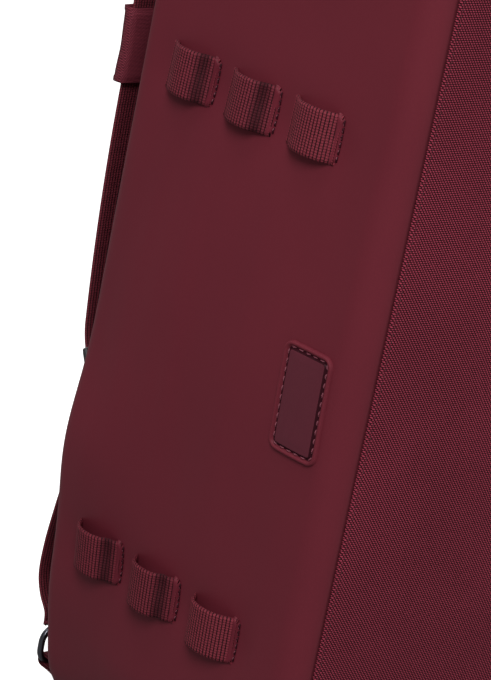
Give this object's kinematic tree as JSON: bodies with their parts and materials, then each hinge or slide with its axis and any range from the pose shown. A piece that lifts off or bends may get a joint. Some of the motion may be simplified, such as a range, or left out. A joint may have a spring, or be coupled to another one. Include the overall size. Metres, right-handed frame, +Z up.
{
  "type": "travel backpack",
  "caption": "Clamshell travel backpack with a coated gusset, twill front door, webbing lash loops on both sides, padded harness, trolley sleeve and grab handle.",
  "frame": {"origin": "on the floor under the middle of the overall box", "axes": "+Z up, the front door faces -Y, the harness is on +Y, the side with the badge is -X"},
  "size_m": [0.3364, 0.2369, 0.5325],
  "materials": {
    "coated_fabric": "smooth satin coating on fabric, burgundy",
    "twill": "coarse twill weave, burgundy",
    "webbing": "ribbed flat webbing, burgundy",
    "lining": "plain woven lining, near black",
    "padded_mesh": "spacer mesh over foam, near black",
    "zip_coil": "nylon coil, dark",
    "gunmetal": "dark plated steel",
    "black_plastic": "moulded acetal, fine texture",
    "frame_plastic": "extruded sheet"
  },
  "bodies": {
    "bag": {"side_panel_left": "coated_fabric", "side_panel_right": "coated_fabric", "base_panel": "coated_fabric", "top_panel": "coated_fabric", "badge": "coated_fabric", "trolley_sleeve": "coated_fabric", "strap_anchor_left": "twill", "strap_anchor_right": "twill", "handle_anchors": "twill", "back_panel": "lining", "laptop_sleeve": "lining", "back_pad": "padded_mesh", "lumbar_pad": "padded_mesh", "ring_tab_left": "webbing", "ring_tab_right": "webbing", "packing_strap_left": "webbing", "packing_strap_right": "webbing", "zip_coil_body": "zip_coil", "packing_buckle": "black_plastic", "frame_sheet": "frame_plastic", "base_board": "frame_plastic", "loop_left_1": "webbing", "loop_left_2": "webbing", "loop_left_3": "webbing", "loop_left_4": "webbing", "loop_left_5": "webbing", "loop_left_6": "webbing", "loop_right_1": "webbing", "loop_right_2": "webbing", "loop_right_3": "webbing", "loop_right_4": "webbing", "loop_right_5": "webbing", "loop_right_6": "webbing"},
    "door": {"front_panel": "twill", "zip_coil_door": "zip_coil", "pocket_bag": "lining", "pocket_zip": "zip_coil"},
    "upper_slider": {"upper_slider": "gunmetal"},
    "lower_slider": {"lower_slider": "gunmetal"},
    "pocket_slider": {"pocket_slider": "gunmetal"},
    "upper_puller": {"upper_puller": "black_plastic"},
    "lower_puller": {"lower_puller": "black_plastic"},
    "pocket_puller": {"pocket_puller": "black_plastic"},
    "handle": {"handle_webbing": "webbing", "handle_grip": "twill"},
    "strap_left": {"strap_pad_left": "padded_mesh", "strap_webbing_left": "webbing", "strap_keeper_left": "twill", "ladder_lock_left": "black_plastic", "lower_webbing_left": "webbing"},
    "ring_left": {"ring_left": "gunmetal"},
    "strap_right": {"strap_pad_right": "padded_mesh", "strap_webbing_right": "webbing", "strap_keeper_right": "twill", "ladder_lock_right": "black_plastic", "lower_webbing_right": "webbing"},
    "ring_right": {"ring_right": "gunmetal"}
  },
  "joints": [
    {"name": "door_open", "type": "hinge", "parent": "bag", "child": "door", "pos_m": [-0.146, -0.11295, 0.25], "axis": [0, 0, -1], "range_deg": [0, 170]},
    {"name": "upper_slider_run", "type": "slide", "parent": "bag", "child": "upper_slider", "axis": [0, 0, 1], "range_m": [0, 0.165]},
    {"name": "lower_slider_run", "type": "slide", "parent": "bag", "child": "lower_slider", "axis": [0, 0, -1], "range_m": [0, 0.14]},
    {"name": "pocket_slider_run", "type": "slide", "parent": "door", "child": "pocket_slider", "axis": [-1, 0, 0], "range_m": [0, 0.188]},
    {"name": "upper_puller_swing", "type": "hinge", "parent": "upper_slider", "child": "upper_puller", "pos_m": [0.144, -0.11655, 0.26], "axis": [-1, 0, 0], "range_deg": [0, 165]},
    {"name": "lower_puller_swing", "type": "hinge", "parent": "lower_slider", "child": "lower_puller", "pos_m": [0.144, -0.11655, 0.22], "axis": [-1, 0, 0], "range_deg": [0, 165]},
    {"name": "pocket_puller_swing", "type": "hinge", "parent": "pocket_slider", "child": "pocket_puller", "pos_m": [0.095, -0.11655, 0.397], "axis": [-1, 0, 0], "range_deg": [0, 165]},
    {"name": "handle_lean", "type": "hinge", "parent": "bag", "child": "handle", "pos_m": [0, 0.02435, 0.5045], "axis": [1, 0, 0], "range_deg": [-15, 15]},
    {"name": "strap_swing_left", "type": "hinge", "parent": "bag", "child": "strap_left", "pos_m": [-0.08, 0.07935, 0.47], "axis": [1, 0, 0], "range_deg": [0, 60]},
    {"name": "ring_swing_left", "type": "hinge", "parent": "bag", "child": "ring_left", "pos_m": [-0.122, 0.08635, 0.017], "axis": [-1, 0, 0], "range_deg": [-15, 115]},
    {"name": "strap_swing_right", "type": "hinge", "parent": "bag", "child": "strap_right", "pos_m": [0.08, 0.07935, 0.47], "axis": [1, 0, 0], "range_deg": [0, 60]},
    {"name": "ring_swing_right", "type": "hinge", "parent": "bag", "child": "ring_right", "pos_m": [0.122, 0.08635, 0.017], "axis": [-1, 0, 0], "range_deg": [-15, 115]}
  ]
}
